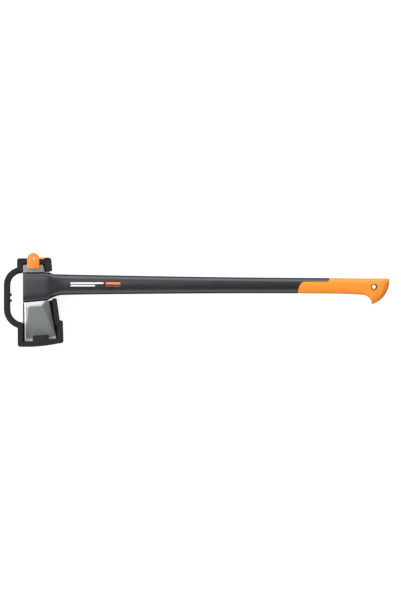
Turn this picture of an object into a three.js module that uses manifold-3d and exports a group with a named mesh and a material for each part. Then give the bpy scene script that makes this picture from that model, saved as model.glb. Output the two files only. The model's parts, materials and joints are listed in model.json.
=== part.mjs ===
// Splitting maul in its carry sheath.
//
// A forged steel head, a hollow composite handle moulded round the neck of the
// head, a soft grip with a hooked knob, and a plastic sheath frame whose turning
// latch holds the poll.
//
// +X runs along the handle from the head to the knob, +Y from the cutting edge to
// the poll, and +Z is up, square to the cheeks, so the tool lies on its side.  The
// pieces are drawn from the front face of the handle's socket (X = 0) and from the
// handle's own axis (Y = 0, Z = 0).  At the end the whole group is set down on
// Z = 0 with the middle of its bounding box over the origin.  Millimetres.

import * as THREE from "three";
import { mergeVertices } from "three/addons/utils/BufferGeometryUtils.js";
import Module from "manifold-3d";

const GAP = 0.35; // left between pieces that touch

// Handle: stations of x, top y, bottom y, half thickness and squareness
const SHAFT = [
  [0, 30.9, -43.3, 20.2, 5.5],
  [2, 31.8, -44.1, 21, 5.5],
  [40, 31.8, -40.6, 21, 5.4],
  [56, 31.7, -39, 20.8, 5.2],
  [64, 31.4, -36.1, 20.4, 4.8],
  [70, 29.2, -33.1, 19.9, 4.2],
  [75, 27.4, -31, 19.3, 3.7],
  [82, 27.1, -28.3, 18.5, 3.2],
  [90, 26.9, -25.8, 17.7, 2.8],
  [100, 26.5, -24.9, 17, 2.6],
  [120, 26.1, -24.5, 16.4, 2.4],
  [193, 24.7, -23.3, 15.8, 2.4],
  [318, 22.4, -22.2, 15.2, 2.4],
  [443, 20.3, -21.1, 14.8, 2.4],
  [593, 18.5, -20.65, 14.8, 2.4],
  [743, 17.6, -21, 15, 2.4],
  [823, 16.8, -22.5, 15.2, 2.5],
  [853, 16.4, -24.8, 15.8, 2.6],
];
const BORE_START = 96; // the shaft is hollow from here to its end
const CORE_START = 676; // where the shaft is reduced for the grip
const CORE_END = 863;
const GRIP_THICKNESS = 2.6;
const SHAFT_WALL = 3.6;
const PLUG_FLANGE = 3.5;
const PLUG_SPIGOT = 18;

// Grip and knob
const KNOB_END = { x: 852.8, y: 11.25, radius: 62.5 }; // arc of the knob's end
const THROAT = { x: 847, y: -49.25, radius: 25 }; // hollow in front of the hook
const GRIP_FRONT = { x: 703, y: -20, across: 16, up: 28 }; // oval front corner of the grip
const KNOB_TOP = 16.2;
const KNOB_HALF_THICKNESS = 16.5;
const HANGING_HOLE = { x: 876.8, y: -4.5, radius: 5.3, liner: 7.6 };

// Head
const NECK = { x0: 7, x1: 54, halfThickness: 7.5, holeRadius: 6, holes: [[18, -6], [43, -6]] };
const POLL_TOP = 50.8;
const POLL_HALF_THICKNESS = 19;
const EDGE_ARC = { x: 7, y: 239.4, radius: 380 }; // cutting edge, seen square to the cheek
const BEVEL_HEIGHT = 6;
const BEVEL_HALF_THICKNESS = 2.6;
const CREST_HALF_THICKNESS = 26;
const CHEEK_HOLLOW = 1.5; // 1 gives flat cheeks, more hollows them
const TOE_ROUND = 3.6; // the toe's edge is rounded over this far

// Sheath frame
const FRAME_BACK = -24;
const FRAME_FRONT = 20;
const FRAME_BOTTOM_RADIUS = 394; // on the centre of the cutting edge's arc
const LOOP_HALF_DEPTH = 11;
const LOOP_TOP = { x: -3, y: 0, outer: 45.1, inner: 29.4 };
const LOOP_FOOT = { x: 1.4, y: -60, outer: 49.5, inner: 33.8 };
const NUB_HEIGHT = 4;
const NUB_WIDTH = 6.3;
const NUB_CENTRES = [-24.3, -39];

// Latch, turning about +Z
const PIVOT = { x: 26, y: 67 };
const HUB = { radius: 5.5, bore: 3.25, back: -18, groove: 4.7 };
const EAR_RADIUS = 12.4;
const RING = { radius: 9.2, front: -12.4, back: -15 };
const TAB = { halfWidth: 15.1, bottom: 41.3, archY: 65.2, back: 20.5, front: 24.5 };
const LEVER = { x1: 56, bottom: 63.5, top: 69, back: 15 };

const wasm = await Module();
wasm.setup();

// ---------------------------------------------------------------- solid helpers

function toSolid(geometry) {
  const bare = geometry.index ? geometry.toNonIndexed() : geometry.clone();
  bare.deleteAttribute("normal");
  bare.deleteAttribute("uv");
  const merged = mergeVertices(bare, 1e-4);
  return new wasm.Manifold(new wasm.Mesh({
    numProp: 3,
    vertProperties: new Float32Array(merged.attributes.position.array),
    triVerts: new Uint32Array(merged.index.array),
  }));
}

function toGeometry(solid) {
  const mesh = solid.getMesh();
  const geometry = new THREE.BufferGeometry();
  geometry.setAttribute("position", new THREE.BufferAttribute(mesh.vertProperties, 3));
  geometry.setIndex(new THREE.BufferAttribute(mesh.triVerts, 1));
  geometry.computeVertexNormals();
  return geometry;
}

// Closed solid through rings of equal point count, with flat ends.
function loft(rings) {
  const count = rings[0].length;
  const points = rings.flat();
  const triangles = [];
  for (let row = 0; row < rings.length - 1; row += 1) {
    for (let i = 0; i < count; i += 1) {
      const a = row * count + i;
      const b = row * count + ((i + 1) % count);
      triangles.push(a, b, b + count, a, b + count, a + count);
    }
  }
  const last = (rings.length - 1) * count;
  for (let i = 1; i < count - 1; i += 1) {
    triangles.push(0, i + 1, i, last, last + i, last + i + 1);
  }
  const geometry = new THREE.BufferGeometry().setFromPoints(points);
  geometry.setIndex(triangles);
  return toSolid(geometry);
}

// Closed outline through corners of x, y and corner radius (0 if left out).
function outline(corners) {
  const shape = new THREE.Shape();
  corners.forEach(([x, y, radius = 0], i) => {
    const corner = new THREE.Vector2(x, y);
    const before = new THREE.Vector2(...corners.at(i - 1)).sub(corner).setLength(radius);
    const after = new THREE.Vector2(...corners[(i + 1) % corners.length]).sub(corner).setLength(radius);
    const start = corner.clone().add(before);
    const end = corner.clone().add(after);
    if (i === 0) shape.moveTo(start.x, start.y);
    else shape.lineTo(start.x, start.y);
    if (radius > 0) shape.quadraticCurveTo(corner.x, corner.y, end.x, end.y);
  });
  return shape;
}

// Outline between two heights, with its front and back edges rounded over.
function slab(shape, back, front, edge = 0) {
  const geometry = new THREE.ExtrudeGeometry(shape, {
    depth: front - back - 2 * edge,
    bevelEnabled: edge > 0,
    bevelThickness: edge,
    bevelSize: edge,
    bevelOffset: -edge,
    bevelSegments: 2,
    curveSegments: 8,
  });
  return toSolid(geometry.translate(0, 0, back + edge));
}

function box(x0, x1, y0, y1, z0, z1) {
  const geometry = new THREE.BoxGeometry(x1 - x0, y1 - y0, z1 - z0);
  return toSolid(geometry.translate((x0 + x1) / 2, (y0 + y1) / 2, (z0 + z1) / 2));
}

// Cylinder along Z about a point.
function rod({ x, y }, radius, back, front) {
  const geometry = new THREE.CylinderGeometry(radius, radius, front - back, 32);
  return toSolid(geometry.rotateX(Math.PI / 2).translate(x, y, (back + front) / 2));
}

function union(...solids) {
  return solids.reduce((sum, solid) => sum.add(solid));
}

// --------------------------------------------------------------------- sections

// Oval or boxy ring square to X: a superellipse with the given squareness.
function ring(x, top, bottom, halfThickness, squareness) {
  const count = 28;
  const middle = (top + bottom) / 2;
  const halfHeight = (top - bottom) / 2;
  const power = (value) => Math.sign(value) * Math.abs(value) ** (2 / squareness);
  return Array.from({ length: count }, (_, i) => {
    const angle = (2 * Math.PI * i) / count;
    const y = middle + halfHeight * power(Math.cos(angle));
    const z = halfThickness * power(Math.sin(angle));
    return new THREE.Vector3(x, y, z);
  });
}

function stationAt(x) {
  const after = SHAFT.findIndex((station) => station[0] >= x);
  if (after <= 0) return after === 0 ? SHAFT[0] : SHAFT.at(-1);
  const [low, high] = [SHAFT[after - 1], SHAFT[after]];
  const t = (x - low[0]) / (high[0] - low[0]);
  return low.map((value, i) => value + t * (high[i] - value));
}

function steps(from, to, count) {
  return Array.from({ length: count + 1 }, (_, i) => from + ((to - from) * i) / count);
}

// Shaft between two stations, drawn in from its surface by an inset.
function shaft(from, to, inset) {
  const inner = SHAFT.map((station) => station[0]).filter((x) => x > from + 1 && x < to - 1);
  return loft([from, ...inner, to].map((x) => {
    const [, top, bottom, halfThickness, squareness] = stationAt(x);
    return ring(x, top - inset, bottom + inset, halfThickness - inset, squareness);
  }));
}

// ----------------------------------------------------------------------- handle

// Everything below and behind the line where the grip meets the shaft.
function gripRegion(growth) {
  const shape = new THREE.Shape();
  const { x, y, across, up } = GRIP_FRONT;
  const strip = y + up + growth;
  shape.moveTo(x - across - growth, -70);
  shape.absellipse(x, y, across + growth, up + growth, Math.PI, Math.PI / 2, true);
  shape.lineTo(758, strip);
  shape.quadraticCurveTo(763 - growth, strip, 767 - growth, 17);
  shape.lineTo(770 - growth, 40);
  shape.lineTo(940, 40);
  shape.lineTo(940, -70);
  return slab(shape, -30, 30);
}

function gripBody() {
  const straight = [CORE_START, 743, 790, 823, 853].map((x) => ring(...[x, ...stationAt(x).slice(1)]));
  const start = Math.asin((853 - THROAT.x) / THROAT.radius);
  const throat = steps(start, Math.PI / 2, 7).slice(1).map((angle) => {
    const x = THROAT.x + THROAT.radius * Math.sin(angle);
    return [x, THROAT.y + THROAT.radius * Math.cos(angle)];
  });
  const tipAngle = Math.acos((THROAT.x + THROAT.radius + 1 - KNOB_END.x) / KNOB_END.radius);
  const end = steps(tipAngle, 0.03, 10).map((angle) => {
    const x = KNOB_END.x + KNOB_END.radius * Math.cos(angle);
    return [x, KNOB_END.y - KNOB_END.radius * Math.sin(angle)];
  });
  const knob = [...throat, ...end].map(([x, bottom]) => {
    const swell = Math.min(1, (x - 853) / 20);
    const rounding = Math.max(0, (x - 892) / (KNOB_END.x + KNOB_END.radius - 892));
    const halfThickness = 15.8 + swell * (KNOB_HALF_THICKNESS - 15.8);
    return ring(x, KNOB_TOP, bottom, halfThickness * Math.sqrt(1 - 0.85 * rounding ** 2), 2.8);
  });
  return loft([...straight, ...knob]);
}

function core(clearance) {
  return shaft(CORE_START, CORE_END + clearance, GRIP_THICKNESS + GAP - clearance);
}

// Flange of the end plug, against the end of the core.
function plugFlange(clearance) {
  const from = CORE_END + GAP - clearance;
  const to = CORE_END + PLUG_FLANGE + clearance;
  return shaft(from, to, GRIP_THICKNESS + GAP - clearance);
}

function handleShell() {
  const sleeveCut = neck(GAP);
  const outer = shaft(0, CORE_START + 120, 0).subtract(gripRegion(GAP));
  const bore = shaft(BORE_START, CORE_START, SHAFT_WALL);
  const coreBore = shaft(CORE_START - 1, CORE_END + 10, GRIP_THICKNESS + SHAFT_WALL);
  return outer.add(core(0)).subtract(union(bore, coreBore, sleeveCut));
}

function endPlug() {
  const spigot = shaft(CORE_END - PLUG_SPIGOT, CORE_END + 2, GRIP_THICKNESS + SHAFT_WALL + GAP);
  return plugFlange(0).add(spigot);
}

function grip() {
  const hole = rod(HANGING_HOLE, HANGING_HOLE.liner + GAP, -30, 30);
  const inside = union(core(GAP), plugFlange(GAP), hole);
  return gripBody().intersect(gripRegion(0)).subtract(inside);
}

function hangingHoleLiner() {
  const reach = KNOB_HALF_THICKNESS * 0.95;
  const outer = rod(HANGING_HOLE, HANGING_HOLE.liner, -reach, reach);
  return outer.subtract(rod(HANGING_HOLE, HANGING_HOLE.radius, -30, 30));
}

// ------------------------------------------------------------------------- head

// Neck inside the socket, with holes that the composite runs through.
function neck(clearance) {
  const { x0, x1, halfThickness, holeRadius, holes } = NECK;
  const reach = clearance > 0 ? 60 : 33;
  const shape = outline([
    [x0 - clearance, -reach - 13],
    [x1 + clearance, -reach - 13],
    [x1 + clearance, reach],
    [x0 - clearance, reach],
  ]);
  shape.holes = holes.map(([x, y]) => {
    return new THREE.Path().absarc(x, y, holeRadius - clearance, 0, 2 * Math.PI, true);
  });
  return slab(shape, -halfThickness - clearance, halfThickness + clearance);
}

function poll() {
  const foot = 31.8 + GAP;
  const shape = outline([
    [0, foot],
    [55.2, foot],
    [50.6, POLL_TOP, 2.5],
    [0, POLL_TOP, 2.5],
  ]);
  return slab(shape, -POLL_HALF_THICKNESS, POLL_HALF_THICKNESS, 1.5);
}

// One cheek of the wedge as rows of points from the socket to the cutting edge.
// Each row is given by its fall between the crest (0) and the bevel (1).
function cheekRows() {
  const edgeY = (x) => EDGE_ARC.y - Math.sqrt(EDGE_ARC.radius ** 2 - (x - EDGE_ARC.x) ** 2);
  const crestY = (x) => -53.9 + 0.08 * (x - 15);
  const socketY = (x) => -44.3 - GAP + 0.092 * x;
  const rightX = (y) => 66 + (-40 - y) * 0.188;
  const row = (yAt, middle, leftWidth, rightWidth, left, right, corner) => {
    const x1 = rightX(yAt(70));
    const xs = [0, TOE_ROUND, ...steps(leftWidth, x1 - rightWidth, 7), x1];
    return xs.map((x, i) => {
      let z = middle;
      if (i === 0) z = corner;
      if (i === 1) z = left;
      if (i === xs.length - 1) z = right;
      return new THREE.Vector3(x, yAt(x), z);
    });
  };
  const between = (fall) => (x) => crestY(x) + fall * (edgeY(x) + BEVEL_HEIGHT - crestY(x));
  const shoulder = (x) => socketY(x) + 0.5 * (crestY(x) - socketY(x));
  const cheek = [0, 0.14, 0.3, 0.45, 0.6, 0.75, 0.88, 1].map((fall) => {
    const rest = 1 - fall;
    const swell = (CREST_HALF_THICKNESS - BEVEL_HALF_THICKNESS) * rest ** CHEEK_HOLLOW;
    const middle = BEVEL_HALF_THICKNESS + swell;
    const left = middle - 0.7 - 9.3 * rest ** 1.2;
    const corner = left - 4.5 * rest - 0.3;
    const right = middle - 0.7 - 14.3 * rest ** 1.2;
    const toe = 7.2 + 8.3 * rest ** 1.5;
    const heel = 2.5 + 17.5 * rest ** 1.2;
    return row(between(fall), middle, toe, heel, left, right, corner);
  });
  return [
    row(socketY, 20.6, 15.5, 20, 17.5, 12, 12.5),
    row(shoulder, 23.6, 15.5, 20, 17.5, 12, 12.5),
    ...cheek,
    row(edgeY, 0.15, 7.2, 2.5, 0.15, 0.15, 0.15),
  ];
}

// Both cheeks joined round their rims.
function wedge() {
  const rings = cheekRows().reverse().map((row) => {
    const back = row.map((point) => new THREE.Vector3(point.x, point.y, -point.z)).reverse();
    return [...row, ...back];
  });
  return loft(rings);
}

function head() {
  return union(poll(), neck(0), wedge());
}

// ------------------------------------------------------------------------ sheath

function arc(shape, { x, y }, radius, from, to) {
  shape.absarc(x, y, radius, from * Math.PI, to * Math.PI, to < from);
}

function upperFrame() {
  const shape = outline([
    [-14.6, 36],
    [-1, 30],
    [-1, 53.5, 2],
    [53.1, 53.5, 2],
    [58.4, 34.6],
    [72, 34.6, 4],
    [69.2, 68.8, 6],
    [-14.6, 66.8, 5],
  ]);
  const foot = outline([[58.2, 36], [57.2, 32.6], [65.5, 32.6], [67, 36]]);
  const backWall = outline([[-4, 56], [-4, 32.8], [60, 32.8], [55, 56]]);
  return union(
    slab(shape, FRAME_BACK, FRAME_FRONT),
    slab(foot, FRAME_BACK, FRAME_FRONT - 6),
    slab(backWall, FRAME_BACK, -POLL_HALF_THICKNESS - 0.6),
    rod(PIVOT, EAR_RADIUS, FRAME_BACK, FRAME_FRONT),
  );
}

function lowerFrame() {
  const { x, y, radius } = EDGE_ARC;
  const floor = radius + 1.2;
  const under = FRAME_BOTTOM_RADIUS;
  const angleAt = (px, r) => 1.5 + Math.asin((px - x) / r) / Math.PI;
  const shape = new THREE.Shape();
  shape.moveTo(-13, -97);
  shape.lineTo(-13, -149);
  shape.quadraticCurveTo(-13, -154.4, -7.5, -154.3);
  arc(shape, { x, y }, under, angleAt(-7.5, under), angleAt(95, under));
  shape.quadraticCurveTo(100.2, -143.8, 100, -138.5);
  shape.lineTo(98.6, -91.5);
  shape.quadraticCurveTo(98.4, -88.4, 95.4, -88.4);
  shape.lineTo(90.6, -88.4);
  shape.lineTo(83.6, -37);
  shape.quadraticCurveTo(83, -33, 79, -33);
  shape.lineTo(76.5, -33);
  shape.lineTo(72.3, -36.5);
  shape.lineTo(79.6, -92.5);
  shape.lineTo(81.5, -100);
  shape.quadraticCurveTo(85.6, -101, 85.6, -104);
  shape.lineTo(86.2, -133);
  arc(shape, { x, y }, floor, angleAt(84.8, floor), angleAt(-0.6, floor));
  shape.lineTo(-0.6, -97);
  const frontLip = outline([[24.4, -146], [64, -143], [64, -124, 3], [24.4, -126, 3]]);
  const backLeft = outline([[-3, -146], [26, -146], [26, -126], [-3, -127]]);
  const backRight = outline([[62, -143], [88, -140], [88, -121], [62, -124]]);
  const toeLedge = outline([[-3, -97.5], [4, -97.5], [4, -130], [-3, -130]]);
  const heelLedge = outline([
    [62.6, -41.6], [66.5, -39], [74, -36.5], [88, -98], [90, -138], [80.5, -133], [74.3, -100],
  ]);
  return union(
    slab(shape, FRAME_BACK, FRAME_FRONT),
    slab(frontLip, 8, FRAME_FRONT - 0.5),
    slab(backLeft, FRAME_BACK + 0.5, -8),
    slab(backRight, FRAME_BACK + 0.5, -8),
    slab(toeLedge, FRAME_BACK + 0.5, -15.5),
    slab(heelLedge, FRAME_BACK + 0.5, -19),
  );
}

function carryLoop() {
  const shape = new THREE.Shape();
  arc(shape, LOOP_TOP, LOOP_TOP.outer, 0.5, 1);
  arc(shape, LOOP_FOOT, LOOP_FOOT.outer, 1, 1.5);
  arc(shape, LOOP_FOOT, LOOP_FOOT.inner, 1.5, 1);
  arc(shape, LOOP_TOP, LOOP_TOP.inner, 1, 0.5);
  const band = slab(shape, -LOOP_HALF_DEPTH, LOOP_HALF_DEPTH);
  const innerX = LOOP_TOP.x - LOOP_TOP.inner;
  const nubs = NUB_CENTRES.map((y) => {
    const half = NUB_WIDTH / 2;
    return box(innerX - 3, innerX + NUB_HEIGHT, y - half, y + half, -8, 8);
  });
  return union(band, ...nubs).subtract(box(-0.9, 20, -150, 60, -20, 20));
}

function sheathFrame() {
  const hubBore = rod(PIVOT, HUB.radius + GAP, FRAME_BACK - 5, FRAME_FRONT + 5);
  const ringPocket = rod(PIVOT, RING.radius + 0.6, FRAME_BACK - 5, RING.front + GAP);
  const leverStep = box(
    PIVOT.x + 14.6, LEVER.x1 + 3, LEVER.bottom - 0.5, 90, LEVER.back - 0.5, FRAME_FRONT + 5,
  );
  return union(upperFrame(), lowerFrame(), carryLoop()).subtract(union(hubBore, ringPocket, leverStep));
}

// Tab over the poll, hollow hub through the top bar, and thumb lever beside it.
function latch() {
  const { halfWidth, bottom, archY, back, front } = TAB;
  const shape = new THREE.Shape();
  shape.absarc(PIVOT.x, archY, halfWidth, 0, Math.PI);
  shape.lineTo(PIVOT.x - halfWidth, bottom + 4);
  shape.quadraticCurveTo(PIVOT.x - halfWidth, bottom, PIVOT.x - halfWidth + 4, bottom);
  shape.lineTo(PIVOT.x + halfWidth - 4, bottom);
  shape.quadraticCurveTo(PIVOT.x + halfWidth, bottom, PIVOT.x + halfWidth, bottom + 4);
  const lever = outline([
    [PIVOT.x + halfWidth + 0.2, LEVER.bottom, 0.5],
    [LEVER.x1 - 4, LEVER.bottom + 0.6, 2],
    [LEVER.x1, LEVER.bottom + 2.6, 1],
    [LEVER.x1 - 3, LEVER.top, 1.5],
    [PIVOT.x + halfWidth + 0.2, LEVER.top - 0.6, 0.5],
  ]);
  const bridge = box(
    PIVOT.x, PIVOT.x + halfWidth + 4, LEVER.bottom + 0.6, LEVER.top - 0.8, back + 0.5, front - 0.6,
  );
  const groove = rod(PIVOT, HUB.radius + 2, RING.back - GAP, RING.front + GAP)
    .subtract(rod(PIVOT, HUB.groove, RING.back - 5, RING.front + 5));
  return union(
    slab(shape, back, front, 1),
    slab(lever, LEVER.back, front - 0.3),
    bridge,
    rod(PIVOT, HUB.radius, HUB.back, back + 2),
  ).subtract(union(groove, rod(PIVOT, HUB.bore, HUB.back - 5, front + 5)));
}

function retainingRing() {
  const hole = rod(PIVOT, HUB.groove + GAP, RING.back - 5, RING.front + 5);
  return rod(PIVOT, RING.radius, RING.back, RING.front).subtract(hole);
}

// --------------------------------------------------------------------- assembly

const steel = { color: 0x9aa09e, roughness: 0.35, metalness: 0.9 };
const composite = { color: 0x3c3e44, roughness: 0.45, metalness: 0 };
const orange = { color: 0xfa9628, roughness: 0.6, metalness: 0 };
const sheathPlastic = { color: 0x2a2c30, roughness: 0.7, metalness: 0 };
const liner = { color: 0x4a3520, roughness: 0.5, metalness: 0 };

function piece(name, solid, finish) {
  const mesh = new THREE.Mesh(toGeometry(solid), new THREE.MeshStandardMaterial(finish));
  mesh.name = name;
  return mesh;
}

const maul = new THREE.Group();
maul.add(
  piece("maul_head", head(), steel),
  piece("handle_shell", handleShell(), composite),
  piece("handle_end_plug", endPlug(), composite),
  piece("handle_grip", grip(), orange),
  piece("hanging_hole_liner", hangingHoleLiner(), liner),
  piece("sheath_frame", sheathFrame(), sheathPlastic),
  piece("sheath_latch", latch(), orange),
  piece("latch_retaining_ring", retainingRing(), sheathPlastic),
);

const bounds = new THREE.Box3().setFromObject(maul);
const middle = bounds.getCenter(new THREE.Vector3());
maul.position.set(-middle.x, -middle.y, -bounds.min.z);

export default maul;
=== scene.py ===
# %% [markdown]
# # A splitting maul in its carry sheath
# The tool lies on its side on a pale floor.  A forged steel head sits in the socket
# of a hollow composite handle, an orange soft grip ends in a hooked knob, and a dark
# plastic frame with a carry loop is locked over the head by an orange turning latch.
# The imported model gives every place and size, so this notebook only makes the shapes
# finer and gives them their finishes.

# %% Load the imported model
import json
import math

import bmesh
import bpy
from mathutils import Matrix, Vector


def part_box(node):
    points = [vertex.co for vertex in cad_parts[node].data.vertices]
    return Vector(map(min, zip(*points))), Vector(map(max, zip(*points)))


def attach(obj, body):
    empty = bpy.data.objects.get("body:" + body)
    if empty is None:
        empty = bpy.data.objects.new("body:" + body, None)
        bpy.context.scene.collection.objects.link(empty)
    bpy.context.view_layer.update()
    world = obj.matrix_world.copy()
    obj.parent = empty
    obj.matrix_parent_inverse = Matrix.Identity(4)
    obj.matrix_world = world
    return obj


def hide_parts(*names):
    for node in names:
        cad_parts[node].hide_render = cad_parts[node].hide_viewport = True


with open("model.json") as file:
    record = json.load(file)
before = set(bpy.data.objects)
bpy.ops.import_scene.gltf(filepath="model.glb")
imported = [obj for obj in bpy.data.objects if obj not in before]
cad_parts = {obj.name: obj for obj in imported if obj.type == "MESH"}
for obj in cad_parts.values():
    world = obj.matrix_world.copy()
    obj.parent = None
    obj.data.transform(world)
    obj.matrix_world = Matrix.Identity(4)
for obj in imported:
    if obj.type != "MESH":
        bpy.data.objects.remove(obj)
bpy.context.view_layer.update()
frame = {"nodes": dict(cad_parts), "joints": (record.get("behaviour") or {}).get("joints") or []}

# %% [markdown]
# ## A ruler for the bench
# A drawing of a tool is easiest to read from its own corner.  Here that corner is the
# front face of the socket, the handle's axis and the plane through the middle of the
# blade.  The function `at` turns millimetres on that drawing into a place in the
# frame, so no piece needs fitting afterwards.

# %% Where the drawing's corner lies
MM = 0.001
PIVOT_X, PIVOT_Y = 26, 67  # the latch's pivot on the drawing

socket_low, socket_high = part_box("handle_shell")
pivot = Vector(frame["joints"][0]["pos_m"])
CORNER = Vector((pivot.x - PIVOT_X * MM, pivot.y - PIVOT_Y * MM, (socket_low.z + socket_high.z) / 2))


def at(x, y, z=0.0):
    """A point in the frame from millimetres on the drawing."""
    return CORNER + Vector((x, y, z)) * MM


print("drawing corner", [round(v, 4) for v in CORNER])

# %% [markdown]
# ## Camera
# The tool is seen square from above, from far away, as in a catalogue.  A long lens
# keeps the wedge from looking bigger than the flat parts beside it.

# %% Camera over the tool
VIEW_CENTRE = at(443.3, -38.75)
VIEW_HEIGHT = 1.5025
LENS = 250

lens = bpy.data.cameras.new("catalogue_camera")
lens.lens = LENS
camera = bpy.data.objects.new("catalogue_camera", lens)
bpy.context.scene.collection.objects.link(camera)
camera.location = VIEW_CENTRE + Vector((0, 0, VIEW_HEIGHT * LENS / lens.sensor_width))
bpy.context.scene.camera = camera
print("camera height", round(camera.location.z, 3))

# %% [markdown]
# ## Hand tools
# Modelling by hand is a short list of moves: pick something, extrude it, scale it,
# round its edges, cut it with another solid.  Each move gets a small function, so
# that the cells below read like bench notes.

# %% Selecting
def put_down():
    """Leaves edit mode with nothing selected."""
    if bpy.context.object and bpy.context.object.mode == "EDIT":
        bpy.ops.object.mode_set(mode="OBJECT")
    bpy.ops.object.select_all(action="DESELECT")


def pick_up(piece, edit=False):
    """Makes one piece active, in edit mode if asked."""
    put_down()
    piece.select_set(True)
    bpy.context.view_layer.objects.active = piece
    if edit:
        bpy.ops.object.mode_set(mode="EDIT")
        bpy.ops.mesh.select_mode(type="VERT")


def pick(kind, test):
    """In edit mode, selects just the VERT, EDGE or FACE elements that pass the test."""
    bpy.ops.mesh.select_mode(type=kind)
    bpy.ops.mesh.select_all(action="DESELECT")
    mesh = bmesh.from_edit_mesh(bpy.context.object.data)
    elements = {"VERT": mesh.verts, "EDGE": mesh.edges, "FACE": mesh.faces}[kind]
    found = [element for element in elements if test(element)]
    for element in found:
        element.select_set(True)
    bmesh.update_edit_mesh(bpy.context.object.data)
    return len(found)


def named(name):
    """Names the primitive that was just added, and settles its place into its mesh."""
    piece = bpy.context.object
    piece.name = name
    piece.data.name = name
    bpy.ops.object.transform_apply(location=True, rotation=True, scale=True)
    return piece


# %% Adding, cutting and joining
def block(name, low, high):
    """A box between two corners of the drawing."""
    put_down()
    low, high = at(*low), at(*high)
    bpy.ops.mesh.primitive_cube_add(size=1, location=(low + high) / 2, scale=high - low)
    return named(name)


def round_bar(name, centre, radius, back, front, sides=64):
    """A cylinder along Z about a point of the drawing."""
    put_down()
    place = at(*centre, (back + front) / 2)
    bpy.ops.mesh.primitive_cylinder_add(
        vertices=sides, radius=radius * MM, depth=(front - back) * MM, location=place)
    return named(name)


def apply_modifier(piece, kind, **settings):
    """Adds one modifier with its settings and applies it at once."""
    pick_up(piece)
    step = piece.modifiers.new(kind.lower(), kind)
    for key, value in settings.items():
        setattr(step, key, value)
    bpy.ops.object.modifier_apply(modifier=step.name)


def combine(piece, tool, operation):
    """Cuts the tool out of the piece, keeps what they share, or joins them."""
    apply_modifier(piece, "BOOLEAN", object=tool, operation=operation, solver="MANIFOLD")
    bpy.data.objects.remove(tool)
    return piece


def finish_piece(piece, body, slot, *nodes, smooth=35):
    """Cleans the mesh, shades it, and hands the piece to its body."""
    pick_up(piece, edit=True)
    bpy.ops.mesh.select_all(action="SELECT")
    bpy.ops.mesh.remove_doubles(threshold=0.00001)
    bpy.ops.mesh.normals_make_consistent(inside=False)
    pick_up(piece)
    bpy.ops.object.shade_smooth_by_angle(angle=math.radians(smooth))
    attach(piece, body)
    if nodes:
        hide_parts(*nodes)
    size = [round(v / MM, 1) for v in piece.dimensions]
    print(piece.name, size, "mm,", len(piece.data.polygons), "faces")
    put_down()


# %% [markdown]
# ## Finishes
# Seen close, none of these surfaces is one flat colour.  Four small effects are shared:
# a fine grain, slow smudges from hands, streaks that run one way, and paler edges.  The
# paler edges are partly wear and partly a painted highlight where a rounded edge would
# catch the light.
# Each is a node group with a size in millimetres, so the same effect can be used at
# the scale that suits each material.

# %% A group with named sockets
def new_group(name, inputs, output):
    """An empty node group, with a socket for each input and one for its output."""
    group = bpy.data.node_groups.new(name, "ShaderNodeTree")
    for label, default in inputs.items():
        kind = "NodeSocketVector" if isinstance(default, tuple) else "NodeSocketFloat"
        socket = group.interface.new_socket(label, in_out="INPUT", socket_type=kind)
        socket.default_value = default
    group.interface.new_socket(output, in_out="OUTPUT", socket_type="NodeSocketFloat")
    return group, group.nodes.new("NodeGroupInput"), group.nodes.new("NodeGroupOutput")


def add_node(tree, kind, **settings):
    """Adds a node; a setting that names a socket fills it, any other sets a property."""
    node = tree.nodes.new("ShaderNode" + kind)
    for key, value in settings.items():
        label = key.replace("_", " ")
        if label in node.inputs:
            node.inputs[label].default_value = value
        else:
            setattr(node, key, value)
    return node


def per_metre(tree, size_socket):
    """Turns a size in millimetres into a texture scale."""
    divide = add_node(tree, "Math", operation="DIVIDE")
    divide.inputs[0].default_value = 1 / MM
    tree.links.new(size_socket, divide.inputs[1])
    return divide.outputs[0]


# %% Grain, smudges and streaks
def noise_group(name, size, output, detail, stretch=(1.0, 1.0, 1.0)):
    """Noise on the object's own coordinates, at a size in millimetres."""
    group, entry, result = new_group(name, {"Size": size, "Stretch": stretch}, output)
    place = add_node(group, "TexCoord")
    mapping = add_node(group, "Mapping")
    noise = add_node(group, "TexNoise", Detail=detail, Roughness=0.55)
    group.links.new(place.outputs["Object"], mapping.inputs["Vector"])
    group.links.new(entry.outputs["Stretch"], mapping.inputs["Scale"])
    group.links.new(mapping.outputs["Vector"], noise.inputs["Vector"])
    group.links.new(per_metre(group, entry.outputs["Size"]), noise.inputs["Scale"])
    group.links.new(noise.outputs["Fac"], result.inputs[output])
    return group


GRAIN = noise_group("fine_grain", 0.6, "Grain", 3)
SMUDGE = noise_group("slow_smudge", 40, "Smudge", 4)
STREAK = noise_group("streaks", 0.8, "Streak", 5, stretch=(1.0, 0.04, 1.0))


# %% Paler edges
EDGE_ROUNDING = 0.8  # mm
EDGE_PATCH_SIZE = 6  # mm, so that the paler edge comes and goes


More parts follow.
